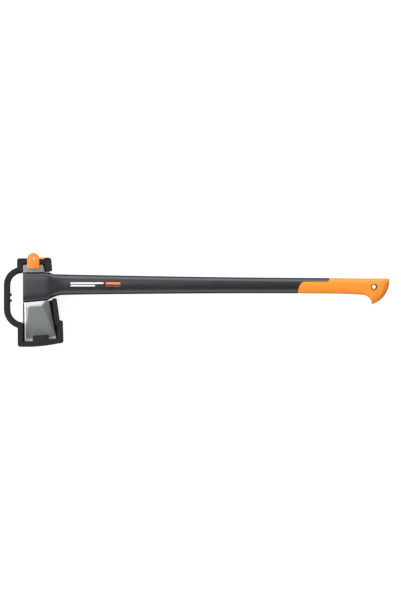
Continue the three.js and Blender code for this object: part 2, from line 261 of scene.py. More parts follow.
def edge_group():
    """Picks out edges by how far a rounded normal leans from the real one, for wear and a painted
    highlight.
    """
    group, entry, result = new_group("pale_edges_wear_and_highlight", {"From": 0.99, "To": 0.82}, "Edge")
    shape = add_node(group, "NewGeometry")
    rounded = add_node(group, "Bevel")
    rounded.inputs["Radius"].default_value = EDGE_ROUNDING * MM
    lean = add_node(group, "VectorMath", operation="DOT_PRODUCT")
    group.links.new(shape.outputs["Normal"], lean.inputs[0])
    group.links.new(rounded.outputs["Normal"], lean.inputs[1])
    spread = add_node(group, "MapRange")
    group.links.new(lean.outputs["Value"], spread.inputs["Value"])
    group.links.new(entry.outputs["From"], spread.inputs["From Min"])
    group.links.new(entry.outputs["To"], spread.inputs["From Max"])
    edge_patches = add_node(group, "Group")
    edge_patches.node_tree = GRAIN
    edge_patches.inputs["Size"].default_value = EDGE_PATCH_SIZE
    product = add_node(group, "Math", operation="MULTIPLY", use_clamp=True)
    group.links.new(spread.outputs["Result"], product.inputs[0])
    group.links.new(edge_patches.outputs["Grain"], product.inputs[1])
    group.links.new(product.outputs[0], result.inputs["Edge"])
    return group


EDGES = edge_group()


# %% Building a material
class Finish:
    """A material with one Principled shader and short ways to feed it."""

    def __init__(self, name, **values):
        self.material = bpy.data.materials.new(name)
        self.material.use_nodes = True
        self.tree = self.material.node_tree
        self.shader = self.tree.nodes["Principled BSDF"]
        for key, value in values.items():
            self.shader.inputs[key.replace("_", " ")].default_value = value

    def effect(self, group, output, **values):
        """Places a shared effect, with values of its own."""
        node = add_node(self.tree, "Group")
        node.node_tree = group
        for key, value in values.items():
            node.inputs[key].default_value = value
        return node.outputs[output]

    def blend(self, factor, low, high):
        """A colour between two, or one above the other where low is a socket."""
        mix = add_node(self.tree, "Mix", data_type="RGBA")
        self.tree.links.new(factor, mix.inputs[0])
        for socket, value in ((mix.inputs[6], low), (mix.inputs[7], high)):
            if isinstance(value, tuple):
                socket.default_value = (*value, 1)
            else:
                self.tree.links.new(value, socket)
        return mix.outputs[2]

    def spread(self, factor, low, high):
        """A number between two, from noise, which seldom leaves 0.2 to 0.8."""
        node = add_node(self.tree, "MapRange", From_Min=0.2, From_Max=0.8, To_Min=low, To_Max=high)
        self.tree.links.new(factor, node.inputs["Value"])
        return node.outputs["Result"]

    def feed(self, socket, value):
        """Leads a node's output to the shader."""
        self.tree.links.new(value, self.shader.inputs[socket])

    def bumps(self, *layers):
        """Layers are pairs of a height and a depth in millimetres, one over another."""
        normal = None
        for height, depth in layers:
            bump = add_node(self.tree, "Bump", Strength=1.0, Distance=depth * MM)
            self.tree.links.new(height, bump.inputs["Height"])
            if normal:
                self.tree.links.new(normal, bump.inputs["Normal"])
            normal = bump.outputs["Normal"]
        self.feed("Normal", normal)


def dress(piece, *finishes):
    """Gives a piece its materials, the first one all over."""
    piece.data.materials.clear()
    for finish in finishes:
        piece.data.materials.append(finish.material)


# %% [markdown]
# ### Steel
# The cheeks are ground and clear coated, so they are dull and slightly green-grey.
# The chamfers and the shoulder are brighter.  The bevel of the cutting edge and a strip
# along the toe are polished, and their near-white colour is also a painted highlight, as
# if they caught the light.  The flanks are near black as painted shade, where they turn
# away from the light, and the poll is left as forged.  All of it could be one material
# driven by a mask, but five that share a function are easier to tune one at a time.
# Grinding marks run across the wedge.

# %% Five steels
def steel(name, dark, light, roughness, mark_depth, metallic):
    """Steel between two tones; the marks' depth is in millimetres."""
    finish = Finish(name, Metallic=metallic)
    streak = finish.effect(STREAK, "Streak", Size=0.9, Stretch=(0.05, 1, 1))
    smudge = finish.effect(SMUDGE, "Smudge", Size=26)
    colour = finish.blend(smudge, dark, light)
    # Paler edges: partly wear that bares bright steel, partly a painted highlight on rounded edges.
    finish.feed("Base Color", finish.blend(finish.effect(EDGES, "Edge"), colour, (0.8, 0.8, 0.78)))
    finish.feed("Roughness", finish.spread(streak, roughness - 0.07, roughness + 0.07))
    finish.bumps((streak, mark_depth), (finish.effect(GRAIN, "Grain", Size=1.4), mark_depth / 2))
    return finish


COATED = steel("coated_cheek", (0.136, 0.153, 0.146), (0.163, 0.178, 0.17), 0.6, 0.012, metallic=0.1)
FORGED = steel("forged_poll", (0.165, 0.177, 0.17), (0.21, 0.222, 0.214), 0.45, 0.015, metallic=0.65)
GROUND = steel("ground_steel", (0.3, 0.315, 0.3), (0.37, 0.38, 0.365), 0.42, 0.015, metallic=0.7)
# The flank steel is painted shade: near black where the toe and heel sides turn away from the light.
SHADED_FLANK = steel("flank_painted_shade", (0.018, 0.02, 0.021), (0.03, 0.032, 0.033), 0.5, 0.012, metallic=0.2)
# Near-white steel with little metal in it: the bevel and the toe strip are polished, and their
# brightness is a painted highlight for the light they would reflect.
POLISHED_PAINTED_HIGHLIGHT = steel("polished_edge_painted_highlight", (0.86, 0.87, 0.86), (0.95, 0.95, 0.94), 0.3, 0.006, metallic=0.1)

# %% [markdown]
# ### Composite, rubber and moulded plastics
# The composite has faint fibres that run along the handle.  The soft grip is matt with
# a pebbled skin.  The sheath is a coarser moulded black, the latch a smooth orange.
# They differ only in colour, gloss and grain, so one function makes them all, and the
# printed inks with them.

# %% Plastics
def plastic(name, dark, light, roughness, grain_size, grain_depth, edge, along=None):
    """Plastic between two tones; the grain's size and depth are in millimetres."""
    finish = Finish(name)
    smudge = finish.effect(SMUDGE, "Smudge", Size=34)
    colour = finish.blend(smudge, dark, light)
    if along:
        streak = finish.effect(STREAK, "Streak", Size=1.6, Stretch=along)
        colour = finish.blend(finish.spread(streak, 0.0, 0.35), colour, light)
    # Paler edges: partly wear, partly a painted highlight on rounded edges.
    finish.feed("Base Color", finish.blend(finish.effect(EDGES, "Edge"), colour, edge))
    finish.feed("Roughness", finish.spread(smudge, roughness - 0.05, roughness + 0.06))
    grain = finish.effect(GRAIN, "Grain", Size=grain_size)
    finish.bumps((grain, grain_depth))
    return finish


COMPOSITE = plastic("handle_composite", (0.011, 0.0115, 0.0145), (0.018, 0.0185, 0.023), 0.3, 0.9, 0.02,
                    (0.05, 0.051, 0.058), along=(0.03, 1, 1))
RUBBER = plastic("soft_grip", (0.83, 0.235, 0.009), (0.88, 0.275, 0.015), 0.6, 0.8, 0.06,
                 (0.98, 0.42, 0.08))
LINER = plastic("hole_liner", (0.05, 0.02, 0.008), (0.09, 0.04, 0.015), 0.5, 0.6, 0.02,
                (0.16, 0.09, 0.05))
MOULDED = plastic("sheath_plastic", (0.0065, 0.007, 0.008), (0.011, 0.012, 0.0135), 0.58, 0.7, 0.06,
                  (0.06, 0.061, 0.065))
MOULDED.shader.inputs["Specular IOR Level"].default_value = 0.2  # a coarse black shines little
LATCH = plastic("latch_plastic", (0.78, 0.16, 0.003), (0.84, 0.195, 0.006), 0.42, 0.5, 0.02,
                (0.98, 0.45, 0.1))

WHITE_INK = plastic("white_ink", (0.62, 0.63, 0.65), (0.72, 0.73, 0.74), 0.5, 0.5, 0.01,
                    (0.75, 0.75, 0.76))
ORANGE_INK = plastic("orange_ink", (0.78, 0.2, 0.03), (0.84, 0.24, 0.04), 0.5, 0.5, 0.01,
                     (0.86, 0.3, 0.08))
GREY_INK = plastic("grey_ink", (0.2, 0.2, 0.21), (0.26, 0.26, 0.27), 0.5, 0.5, 0.01,
                   (0.3, 0.3, 0.31))

# %% [markdown]
# ## Sweeping a section ring by ring
# The handle and the grip are both long, round in section and never the same twice.
# They could be lofted from curves, but a ring that is extruded, moved and scaled
# station by station is the plainest way, and it can be read as a table of sizes.
# The ring starts as a circle.  At each station it is then squared up: a point of the
# circle moves out along its own ray to a superellipse, which is an oval at 2.4 and
# nearly a rounded box at 9.

# %% Ring by ring
def ring_by_ring(name, stations, points=48):
    """Stations are x, top y, bottom y, half thickness and squareness."""
    put_down()
    x, top, bottom, thick, _ = stations[0]
    bpy.ops.mesh.primitive_circle_add(
        vertices=points, radius=1, fill_type="NGON",
        location=at(x, (top + bottom) / 2), rotation=(0, math.pi / 2, 0))
    bpy.ops.transform.resize(value=(1, (top - bottom) / 2 * MM, thick * MM), orient_type="GLOBAL")
    piece = named(name)
    pick_up(piece, edit=True)
    bpy.ops.mesh.select_all(action="SELECT")
    for before, after in zip(stations, stations[1:]):
        middle = (after[1] + after[2]) / 2
        shift = at(after[0], middle) - at(before[0], (before[1] + before[2]) / 2)
        bpy.ops.mesh.extrude_region_move(TRANSFORM_OT_translate={"value": shift})
        scale = (1, (after[1] - after[2]) / (before[1] - before[2]), after[3] / before[3])
        bpy.ops.transform.resize(value=scale, center_override=at(after[0], middle))
    put_down()
    square_up(piece, stations)
    return piece


def square_up(piece, stations):
    """Moves each ring's points out from their circle to the station's superellipse."""
    for point in piece.data.vertices:
        drawn = (point.co - CORNER) / MM
        station = min(stations, key=lambda s: abs(s[0] - drawn.x))
        _, top, bottom, thick, squareness = station
        across = (drawn.y - (top + bottom) / 2) / ((top - bottom) / 2)
        through = drawn.z / thick
        reach = (abs(across) ** squareness + abs(through) ** squareness) ** (-1 / squareness)
        point.co.y = CORNER.y + ((top + bottom) / 2 + across * reach * (top - bottom) / 2) * MM
        point.co.z = CORNER.z + through * reach * thick * MM


# %% [markdown]
# ## Tracing a plate
# The sheath is made of plates with rounded corners.  One point is pushed from corner
# to corner as if drawn with a pencil, the outline is filled, chosen corners are
# rounded with a vertex bevel, and the face is extruded to its thickness.

# %% Trace an outline
def trace(name, corners, back, front):
    """Corners are x, y and, for a round one, how far back the rounding starts."""
    put_down()
    places = [at(x, y, back) for x, y, *_ in corners]
    bpy.ops.mesh.primitive_plane_add(size=MM, location=places[0])
    piece = named(name)
    pick_up(piece, edit=True)
    bpy.ops.mesh.merge(type="CENTER")
    for here, there in zip(places, places[1:]):
        bpy.ops.mesh.extrude_region_move(TRANSFORM_OT_translate={"value": there - here})
    bpy.ops.mesh.select_all(action="SELECT")
    bpy.ops.mesh.edge_face_add()
    for (x, y, *radius), place in zip(corners, places):
        if radius:
            pick("VERT", lambda v: (v.co - place).length < 0.01 * MM)
            bpy.ops.mesh.bevel(
                offset=radius[0] * MM, segments=7, affect="VERTICES", clamp_overlap=False)
    bpy.ops.mesh.select_all(action="SELECT")
    bpy.ops.mesh.extrude_region_move(
        TRANSFORM_OT_translate={"value": (0, 0, (front - back) * MM)})
    bpy.ops.mesh.select_all(action="SELECT")
    bpy.ops.mesh.normals_make_consistent(inside=False)
    put_down()
    return piece


def arc_corners(centre, radius, first, last, count, stretch=(1, 1)):
    """Corners along an arc, or an oval one, with its angles in degrees from +X."""
    for i in range(count):
        angle = math.radians(first + (last - first) * i / (count - 1))
        yield (centre[0] + radius * stretch[0] * math.cos(angle),
               centre[1] + radius * stretch[1] * math.sin(angle))


def on_level(z):
    """A test for edges and faces that lie wholly at one height of the drawing."""
    height = at(0, 0, z).z
    return lambda element: all(abs(v.co.z - height) < 0.02 * MM for v in element.verts)


def soften_rims(piece, back, front, width=1.0):
    """Rounds over the edges round the back and the front face."""
    pick_up(piece, edit=True)
    low, high = on_level(back), on_level(front)
    pick("EDGE", lambda e: (low(e) or high(e)) and e.calc_face_angle(0) > 0.5)
    bpy.ops.mesh.bevel(offset=width * MM, segments=3, affect="EDGES", clamp_overlap=False)
    put_down()


def sink_panel(piece, level, rim, depth):
    """Leaves a raised rim round a face and sinks the panel inside it."""
    pick_up(piece, edit=True)
    pick("FACE", on_level(level))
    bpy.ops.mesh.inset(thickness=rim * MM, depth=0)
    bpy.ops.mesh.inset(thickness=abs(depth) * MM, depth=-depth * MM)
    put_down()


# %% [markdown]
# ## Handle
# The handle is one moulding.  Its socket is a rounded box, moulded round the head's
# neck; behind it the section draws in and runs as a slim oval to the grip.  A cage of
# rings under a subdivision surface gives the long clean highlights of the real one.
# Where the grip lies over it the shaft is thinner, so that the two finish flush.

# %% Sizes of the shaft
# Each station is x, top, bottom, half thickness and squareness.
SHAFT = [
    (0, 30.6, -43, 19.8, 5.5), (0.5, 31.5, -43.8, 20.7, 5.5), (2, 31.8, -44.1, 21, 5.5),
    (30, 31.8, -41.5, 21, 5.5), (50, 31.8, -39.7, 20.9, 5.3), (58, 31.8, -39, 20.8, 5.1),
    (62, 31.7, -38, 20.6, 4.9), (66, 31.1, -35.2, 20.3, 4.7), (70, 29.2, -33, 19.9, 4.2),
    (74, 27.3, -31.2, 19.4, 3.8), (78, 26.8, -29.6, 19, 3.5), (83, 27, -27.7, 18.4, 3.2),
    (90, 26.8, -25.6, 17.7, 2.8), (100, 26.5, -24.9, 17, 2.6), (120, 26.1, -24.5, 16.4, 2.4),
    (193, 24.7, -23.3, 15.8, 2.4), (318, 22.4, -22.2, 15.2, 2.4), (443, 20.3, -21.1, 14.8, 2.4),
    (593, 18.5, -20.65, 14.8, 2.4), (680, 17.8, -20.8, 14.9, 2.4), (743, 17.6, -21, 15, 2.4),
    (823, 16.8, -22.5, 15.2, 2.5), (853, 16.4, -24.8, 15.8, 2.6),
]
GRIP_THICKNESS = 2.6
SHAFT_WALL = 3.6
GAP = 0.35
CORE_START, CORE_END = 676, 863
BORE_START = 96
STRIP_END = 796
NECK_START, NECK_END, NECK_HALF = 7, 54, 7.5
NECK_GAP = 0.4


def drawn_in(stations, inset, first, last):
    """The stations between two places, with the section smaller all round by the inset."""
    kept = [s for s in stations if first < s[0] < last]
    ends = [(first, *kept[0][1:]), *kept, (last, *kept[-1][1:])]
    return [(x, top - inset, low + inset, thick - inset, square) for x, top, low, thick, square in ends]


# %% Where the grip ends on the shaft
def grip_region(name, growth):
    """A thick plate that covers the grip's part of the tool, seen from the side."""
    strip = 8 + growth
    front = arc_corners((703, -20), 1, 180, 90, 13, stretch=(16 + growth, 28 + growth))
    outline = [
        (687 - growth, -90), *front, (763 - growth, strip, 5), (768 - growth, 20),
        (770 - growth, 60), (950, 60), (950, -90)]
    return trace(name, outline, -40, 40)


# %% Handle shell
handle = ring_by_ring("handle", SHAFT)
pick_up(handle, edit=True)
pick("FACE", lambda f: len(f.verts) > 4 and f.normal.x < -0.9)
bpy.ops.mesh.inset(thickness=3 * MM, depth=0)
apply_modifier(handle, "SUBSURF", levels=2, render_levels=2)
combine(handle, grip_region("grip_cut", GAP), "DIFFERENCE")
combine(handle, block("strip_end", (STRIP_END, -60, -40), (900, 60, 40)), "DIFFERENCE")

core = ring_by_ring("core", drawn_in(SHAFT, GRIP_THICKNESS + GAP, CORE_START, CORE_END))
combine(handle, core, "UNION")
bore = ring_by_ring("bore", drawn_in(SHAFT, SHAFT_WALL, BORE_START, CORE_START), 32)
combine(handle, bore, "DIFFERENCE")
core_bore = drawn_in(SHAFT, GRIP_THICKNESS + SHAFT_WALL, CORE_START - 1, CORE_END + 10)
combine(handle, ring_by_ring("core_bore", core_bore, 32), "DIFFERENCE")
pocket_half = NECK_HALF + NECK_GAP
combine(handle, block("neck_pocket", (NECK_START - NECK_GAP, -60, -pocket_half),
                      (NECK_END + NECK_GAP, 50, pocket_half)), "DIFFERENCE")
dress(handle, COMPOSITE)
finish_piece(handle, "maul", "handle_composite", "handle_shell")
dress(frame["nodes"]["handle_end_plug"], COMPOSITE)

# %% [markdown]
# ### Printed bars
# The handle is printed behind the socket.  Here the print is plain bars with no
# lettering.  Each bar is a fine grid dropped onto the handle from the front, so that
# it bends with the surface, and then given the thickness of a layer of ink.

# %% Bars of ink
INK = 0.12


def printed_bar(name, low, high, finish):
    """A strip of ink between two corners, seen from the front."""
    put_down()
    near, far = at(*low, 30), at(*high, 30)
    bpy.ops.mesh.primitive_grid_add(
        x_subdivisions=30, y_subdivisions=6, size=1, location=(near + far) / 2)
    bpy.ops.transform.resize(value=(far.x - near.x, far.y - near.y, 1))
    bar = named(name)
    apply_modifier(
        bar, "SHRINKWRAP", target=handle, wrap_method="PROJECT", wrap_mode="ABOVE_SURFACE",
        use_project_z=True, use_positive_direction=False, use_negative_direction=True,
        offset=INK * MM)
    apply_modifier(bar, "SOLIDIFY", thickness=INK * MM, offset=-1)
    dress(bar, finish)
    finish_piece(bar, "maul", "handle_composite")


printed_bar("white_bar_long", (119, 2.6), (201, 6.4), WHITE_INK)
printed_bar("white_bar_short", (119, -3.6), (180, 0.2), WHITE_INK)
printed_bar("orange_bar", (207, 1.6), (243, 6.4), ORANGE_INK)
printed_bar("grey_line", (207, -3.6), (243, -2.6), GREY_INK)

# %% [markdown]
# ## Grip and knob
# The grip is a soft skin about 2.6 mm thick that swells into a solid hooked knob.  The
# hollow in front of the hook and the round end are both arcs, so the stations there
# come from two circles.  Cutting the sweep with the same plate as the handle gives
# the curved front edge and the dark strip that runs on along the back.

# %% Stations of the knob
THROAT = (847, -49.25, 25)  # x, y and radius of the hollow in front of the hook
KNOB_END = (852.8, 11.25, 62.5)  # x, y and radius of the round end
KNOB_TOP = 16.2
KNOB_THICK = 16.5
KNOB_SQUARENESS = 2.8
TIP_X = 872.6
ROUNDING_FROM = 892
THROAT_FROM = 855
SHAFT_END, SHAFT_END_THICK = SHAFT[-1][0], SHAFT[-1][3]
SWELL_LENGTH = 20
ROUNDING_DEPTH = 0.85  # 1 would bring the end to a point


def knob_station(x, bottom):
    """The knob swells a little past the shaft and rounds over to its end."""
    swell = min(1, (x - SHAFT_END) / SWELL_LENGTH)
    past = max(0, (x - ROUNDING_FROM) / (KNOB_END[0] + KNOB_END[2] - ROUNDING_FROM))
    thick = SHAFT_END_THICK + swell * (KNOB_THICK - SHAFT_END_THICK)
    return (x, KNOB_TOP, bottom, thick * math.sqrt(1 - ROUNDING_DEPTH * past ** 2), KNOB_SQUARENESS)


def throat_stations(count):
    """Round the hollow, from the shaft down to the hook."""
    start = math.asin((THROAT_FROM - THROAT[0]) / THROAT[2])
    for i in range(count):
        angle = start + (math.pi / 2 - start) * i / (count - 1)
        yield knob_station(THROAT[0] + THROAT[2] * math.sin(angle),
                           THROAT[1] + THROAT[2] * math.cos(angle))


def end_stations(count):
    """Round the end of the knob, from the hook's tip back up."""
    start = math.acos((TIP_X + 0.8 - KNOB_END[0]) / KNOB_END[2])
    for i in range(count):
        angle = start + (0.03 - start) * i / (count - 1)
        yield knob_station(KNOB_END[0] + KNOB_END[2] * math.cos(angle),
                           KNOB_END[1] - KNOB_END[2] * math.sin(angle))


# %% Soft grip
covered = [s for s in SHAFT if s[0] >= 680]
GRIP_SHAFT = [(x, *covered[0][1:]) for x in (640, 660)] + covered
HOLE_X, HOLE_Y, HOLE_RADIUS, LINER_RADIUS = 876.8, -4.5, 5.3, 7.6

grip = ring_by_ring("soft_grip", GRIP_SHAFT + list(throat_stations(11)) + list(end_stations(16)))
apply_modifier(grip, "SUBSURF", levels=2, render_levels=2)
combine(grip, grip_region("grip_keep", 0), "INTERSECT")
inside = ring_by_ring("inside", drawn_in(SHAFT, GRIP_THICKNESS, CORE_START - 2, CORE_END + 4))
combine(grip, inside, "DIFFERENCE")
combine(grip, round_bar("peg", (HOLE_X, HOLE_Y), LINER_RADIUS + GAP, -30, 30), "DIFFERENCE")
dress(grip, RUBBER)
finish_piece(grip, "maul", "soft_grip", "handle_grip")

# %% [markdown]
# ## Liner of the hanging hole
# A short dark tube with a rounded lip keeps the soft rubber from tearing on a nail.

# %% Hole liner
liner_half = (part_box("hanging_hole_liner")[1].z - CORNER.z) / MM
liner = round_bar("hole_liner", (HOLE_X, HOLE_Y), LINER_RADIUS, -liner_half, liner_half)
combine(liner, round_bar("peg", (HOLE_X, HOLE_Y), HOLE_RADIUS, -30, 30), "DIFFERENCE")
soften_rims(liner, -liner_half, liner_half, 0.6)
dress(liner, LINER)
finish_piece(liner, "maul", "hole_liner", "hanging_hole_liner")

# %% [markdown]
# ## Head
# The head is one forging: a blunt poll, a flat neck hidden in the socket, and a wedge.
# Each cheek of the wedge is hollow ground, rises over a shoulder behind the socket and
# is chamfered at the toe and the heel.  Those are four surfaces that meet in soft
# ridges, so a fine grid is laid over the cheek and each point takes the lowest of the
# four, blended where two are close.  The rim is drawn down to the middle plane, and a
# mirror makes the other cheek.

# %% Lines of the wedge
EDGE_X, EDGE_Y, EDGE_RADIUS = 7, 239.4, 380
BEVEL_HEIGHT = 6
BEVEL_THICK = 2.6
CREST_THICK = 26
EDGE_THICK = 0.12


def edge_line(x):
    """The cutting edge, a long arc."""
    return EDGE_Y - math.sqrt(EDGE_RADIUS ** 2 - (x - EDGE_X) ** 2)


def crest_line(x):
    """Where the wedge is thickest."""
    return -53.9 + 0.08 * (x - 15)


def socket_line(x):
    """The underside of the socket."""
    return -44.65 + 0.092 * x


def heel_line(y):
    """The slanting back of the wedge."""
    return 66 + (-40 - y) * 0.188


def toe_width(rest):
    """Width of the chamfer at the toe, widest at the crest, where rest is 1."""
    return 7.2 + 8.3 * rest ** 1.5


def heel_width(rest):
    """Width of the chamfer at the heel."""
    return 2.5 + 17.5 * rest ** 1.2


# %% Height of the cheek
CHAMFER_LEAST, TOE_DEPTH, HEEL_DEPTH = 0.7, 9.3, 14.3
SHOULDER_THICK, SHOULDER_SLOPE = 20.6, 0.5


def lowest(a, b, blend=1.6):
    """The lower of two heights, rounded over where they are within the blend."""
    nearness = max(blend - abs(a - b), 0) / blend
    return min(a, b) - nearness ** 2 * blend / 4


def cheek_height(x, y, fall):
    """Half thickness; fall runs from 0 on the crest to 1 where the edge's bevel starts."""
    rest = 1 - min(max(fall, 0), 1)
    hollow = BEVEL_THICK + (CREST_THICK - BEVEL_THICK) * rest ** 1.5
    if fall < 0:
        hollow += -fall * CREST_THICK
    toe_depth = CHAMFER_LEAST + TOE_DEPTH * rest ** 1.2
    heel_depth = CHAMFER_LEAST + HEEL_DEPTH * rest ** 1.2
    toe = hollow - toe_depth * (1 - x / toe_width(rest))
    heel = hollow - heel_depth * (1 - (heel_line(y) - x) / heel_width(rest))
    height = lowest(lowest(hollow, toe, 0.9), heel, 0.9)
    if fall < 0:
        shoulder = SHOULDER_THICK + (socket_line(x) - y) * SHOULDER_SLOPE
        height = lowest(height, shoulder, 4)
    return height


def rounded_toe(x, rest):
    """How far the forging's round toe edge drops below the chamfer."""
    reach = 3.2
    if x >= reach:
        return 0
    return (1.5 + 4 * rest) * (1 - math.sqrt(1 - (1 - x / reach) ** 2))


# %% Lay a grid over the cheek
ROWS, COLUMNS = 120, 80
SHOULDER_SHARE, BEVEL_SHARE = 0.2, 0.925
TOE_FLANK, TOE_STRIP, HEEL_FLANK = 4.2, 6.9, 1.2


def down_the_cheek(x, down):
    """Height on the cheek for a share of the rows, and what is left of the fall."""
    bevel_top = edge_line(x) + BEVEL_HEIGHT
    if down < SHOULDER_SHARE:
        part = down / SHOULDER_SHARE
        return socket_line(x) + part * (crest_line(x) - socket_line(x)), 1
    if down < BEVEL_SHARE:
        part = (down - SHOULDER_SHARE) / (BEVEL_SHARE - SHOULDER_SHARE)
        return crest_line(x) + part * (bevel_top - crest_line(x)), 1 - part
    part = (down - BEVEL_SHARE) / (1 - BEVEL_SHARE)
    return edge_line(x) + BEVEL_HEIGHT * (1 - part), 0


def across_the_cheek(along, y, rest):
    """Columns gather so that one runs down each line where the surface changes."""
    heel = heel_line(y)
    stops = [
        (0, 0), (0.075, TOE_FLANK), (0.125, TOE_STRIP), (0.25, toe_width(rest)),
        (0.8, heel - heel_width(rest)), (0.95, heel - HEEL_FLANK), (1, heel)]
    for (first, low), (last, high) in zip(stops, stops[1:]):
        if along < last:
            return low + (high - low) * (along - first) / (last - first)
    return heel


def place_on_cheek(along, down):
    """A grid point's place; x and y depend on each other, so four rounds settle them."""
    x = 35
    for _ in range(4):
        y, rest = down_the_cheek(x, down)
        x = across_the_cheek(along, y, rest)
    span = edge_line(x) + BEVEL_HEIGHT - crest_line(x)
    fall = (y - crest_line(x)) / span
    z = cheek_height(x, y, fall) - rounded_toe(x, rest)
    if down > BEVEL_SHARE:
        z = EDGE_THICK + (min(z, BEVEL_THICK) - EDGE_THICK) * (y - edge_line(x)) / BEVEL_HEIGHT
    return at(x, y, max(z, EDGE_THICK)) - Vector((0, 0, CORNER.z))


put_down()
bpy.ops.mesh.primitive_grid_add(x_subdivisions=COLUMNS, y_subdivisions=ROWS, size=1)
head = bpy.context.object
head.name = "forged_head"
for point in head.data.vertices:
    point.co = place_on_cheek(point.co.x + 0.5, 0.5 - point.co.y)
print("cheek points", len(head.data.vertices))

# %% Close the wedge
head.location.z = CORNER.z
pick_up(head, edit=True)
pick("EDGE", lambda e: e.is_boundary)
bpy.ops.mesh.extrude_edges_move(TRANSFORM_OT_translate={"value": (0, 0, 0)})
bpy.ops.transform.resize(value=(1, 1, 0), center_override=(0, 0, CORNER.z))
apply_modifier(head, "MIRROR", use_axis=(False, False, True), use_clip=True, merge_threshold=0.00002)
bpy.ops.object.transform_apply(location=True)
pick_up(head, edit=True)
bpy.ops.mesh.select_all(action="SELECT")
bpy.ops.mesh.normals_make_consistent(inside=False)

# %% Poll and neck
POLL_HALF = 19
poll_outline = [(0, 20), (58.1, 20), (50.6, 50.8, 2.5), (0, 50.8, 2.5)]
poll = trace("poll", poll_outline, -POLL_HALF, POLL_HALF)
soften_rims(poll, -POLL_HALF, POLL_HALF, 1.8)
combine(poll, block("socket_room", (-5, 0, -30), (65, 32.15, 30)), "DIFFERENCE")
neck = block("neck", (NECK_START, -46, -NECK_HALF), (NECK_END, 33, NECK_HALF))
combine(neck, poll, "UNION")
combine(head, neck, "UNION")

# %% Which face has which steel
HEAD_STEELS = [GROUND, COATED, POLISHED_PAINTED_HIGHLIGHT, FORGED, SHADED_FLANK]


def steel_at(x, y):
    """The steel that shows at a place on the head."""
    bevel_top = edge_line(x) + BEVEL_HEIGHT
    rest = 1 - min(max((y - crest_line(x)) / (bevel_top - crest_line(x)), 0), 1)
    if y > 0:
        return FORGED
    # The toe and heel sides take the near-black steel as painted shade.
    if x < TOE_FLANK or x > heel_line(y) - HEEL_FLANK:
        return SHADED_FLANK
    # The edge's bevel and the toe strip take the polished steel, whose near-white colour is a painted
    # highlight.
    if x < TOE_STRIP or y < bevel_top:
        return POLISHED_PAINTED_HIGHLIGHT
    if x > toe_width(rest) and y < crest_line(x):
        return COATED
    return GROUND


dress(head, *HEAD_STEELS)
for face in head.data.polygons:
    x, y, _ = (face.center - CORNER) / MM
    face.material_index = HEAD_STEELS.index(steel_at(x, y))
finish_piece(head, "maul", "forged_steel", "maul_head", smooth=28)

# %% [markdown]
# ## Sheath frame
# The frame is one dark moulding in three parts: an upper bracket over the poll, a
# lower box round the cutting edge with an arm behind the heel, and the carry loop that
# joins them.  The brackets are traced plates with softened rims and a slightly sunk
# panel.  The loop is a swept edge: a quarter turn, a straight run, a quarter turn.

# %% Upper bracket
FRAME_BACK, FRAME_FRONT = -24, 20
EAR_RADIUS = 12.4
upper = trace("upper_bracket", [
    (-14.6, 36), (-1, 30), (-1, 53.5, 2), (53.1, 53.5, 2), (58.4, 34.6),
    (72, 34.6, 4), (69.2, 68.8, 6), *arc_corners((PIVOT_X, PIVOT_Y), EAR_RADIUS, 4, 181, 17),
    (-14.6, 66.8, 5)], FRAME_BACK, FRAME_FRONT)
soften_rims(upper, FRAME_BACK, FRAME_FRONT, 1.0)
sink_panel(upper, FRAME_FRONT, 1.8, 0.5)
# The back wall closes the narrow slot round the poll from behind and shows dark there: a sheet of dark
# plastic as painted shade for the shadow deep in that slot.
slot_shade_wall = trace("slot_shade_wall", [(-4, 56), (-4, 32.6), (60, 32.6), (55, 56)], FRAME_BACK, -19.6)
foot = trace("foot", [(58.2, 36), (57.2, 32.6, 1), (65.5, 32.6, 1), (67, 36)], FRAME_BACK, 14)
combine(upper, slot_shade_wall, "UNION")
combine(upper, foot, "UNION")

# %% Lower box and heel arm
FLOOR_RADIUS = EDGE_RADIUS + 1.2
BOTTOM_RADIUS = 394


def sagging_line(radius, first, last, count):
    """Points on an arc about the same centre as the cutting edge."""
    for i in range(count):
        x = first + (last - first) * i / (count - 1)
        yield (x, EDGE_Y - math.sqrt(radius ** 2 - (x - EDGE_X) ** 2))


lower = trace("lower_box", [
    (-13, -97), (-13, -154.3, 6), *sagging_line(BOTTOM_RADIUS, 8, 88, 7), (100.2, -145.4, 6),
    (98.4, -88.4, 4.2), (90.6, -88.4), (83, -33, 4), (76.5, -33), (72.3, -36.5),
    (79.6, -92.5), (81.5, -100), (85.6, -101, 2.2), (86.2, -133.6),
    *sagging_line(FLOOR_RADIUS, 82, 4, 7), (-0.6, -141.6), (-0.6, -97)], FRAME_BACK, FRAME_FRONT)
soften_rims(lower, FRAME_BACK, FRAME_FRONT, 1.0)
sink_panel(lower, FRAME_FRONT, 1.8, 0.5)
lip = trace("front_lip", [(24.4, -146), (64, -143), (64, -124, 3), (24.4, -126, 3)], 8, 19.5)
soften_rims(lip, 8, 19.5, 0.8)
back_left = trace("back_left", [(-3, -146), (26, -146), (26, -126, 3), (-3, -127)], -23.5, -8)
back_right = trace("back_right", [(62, -143), (88, -140), (88, -121), (62, -124, 3)], -23.5, -8)
toe_ledge = trace("toe_ledge", [(-3, -97.5), (4, -97.5), (4, -130), (-3, -130)], -23.5, -15.5)
heel_ledge = trace("heel_ledge", [
    (62.6, -41.6), (66.5, -39), (74, -36.5), (88, -98), (90, -138), (80.5, -133), (74.3, -100)],
    -23.5, -19)
for part in (lip, back_left, back_right, toe_ledge, heel_ledge):
    combine(lower, part, "UNION")

# %% Carry loop
LOOP_HALF = 11
LOOP_INNER, LOOP_OUTER = -32.4, -48.1
TOP_CENTRE, FOOT_CENTRE = (-3, 0), (1.4, -60)


def spin(centre):
    """A quarter turn from +Y towards -X, or on from -X towards -Y."""
    bpy.ops.mesh.spin(steps=20, angle=-math.pi / 2, center=at(*centre, -LOOP_HALF), axis=(0, 0, 1))


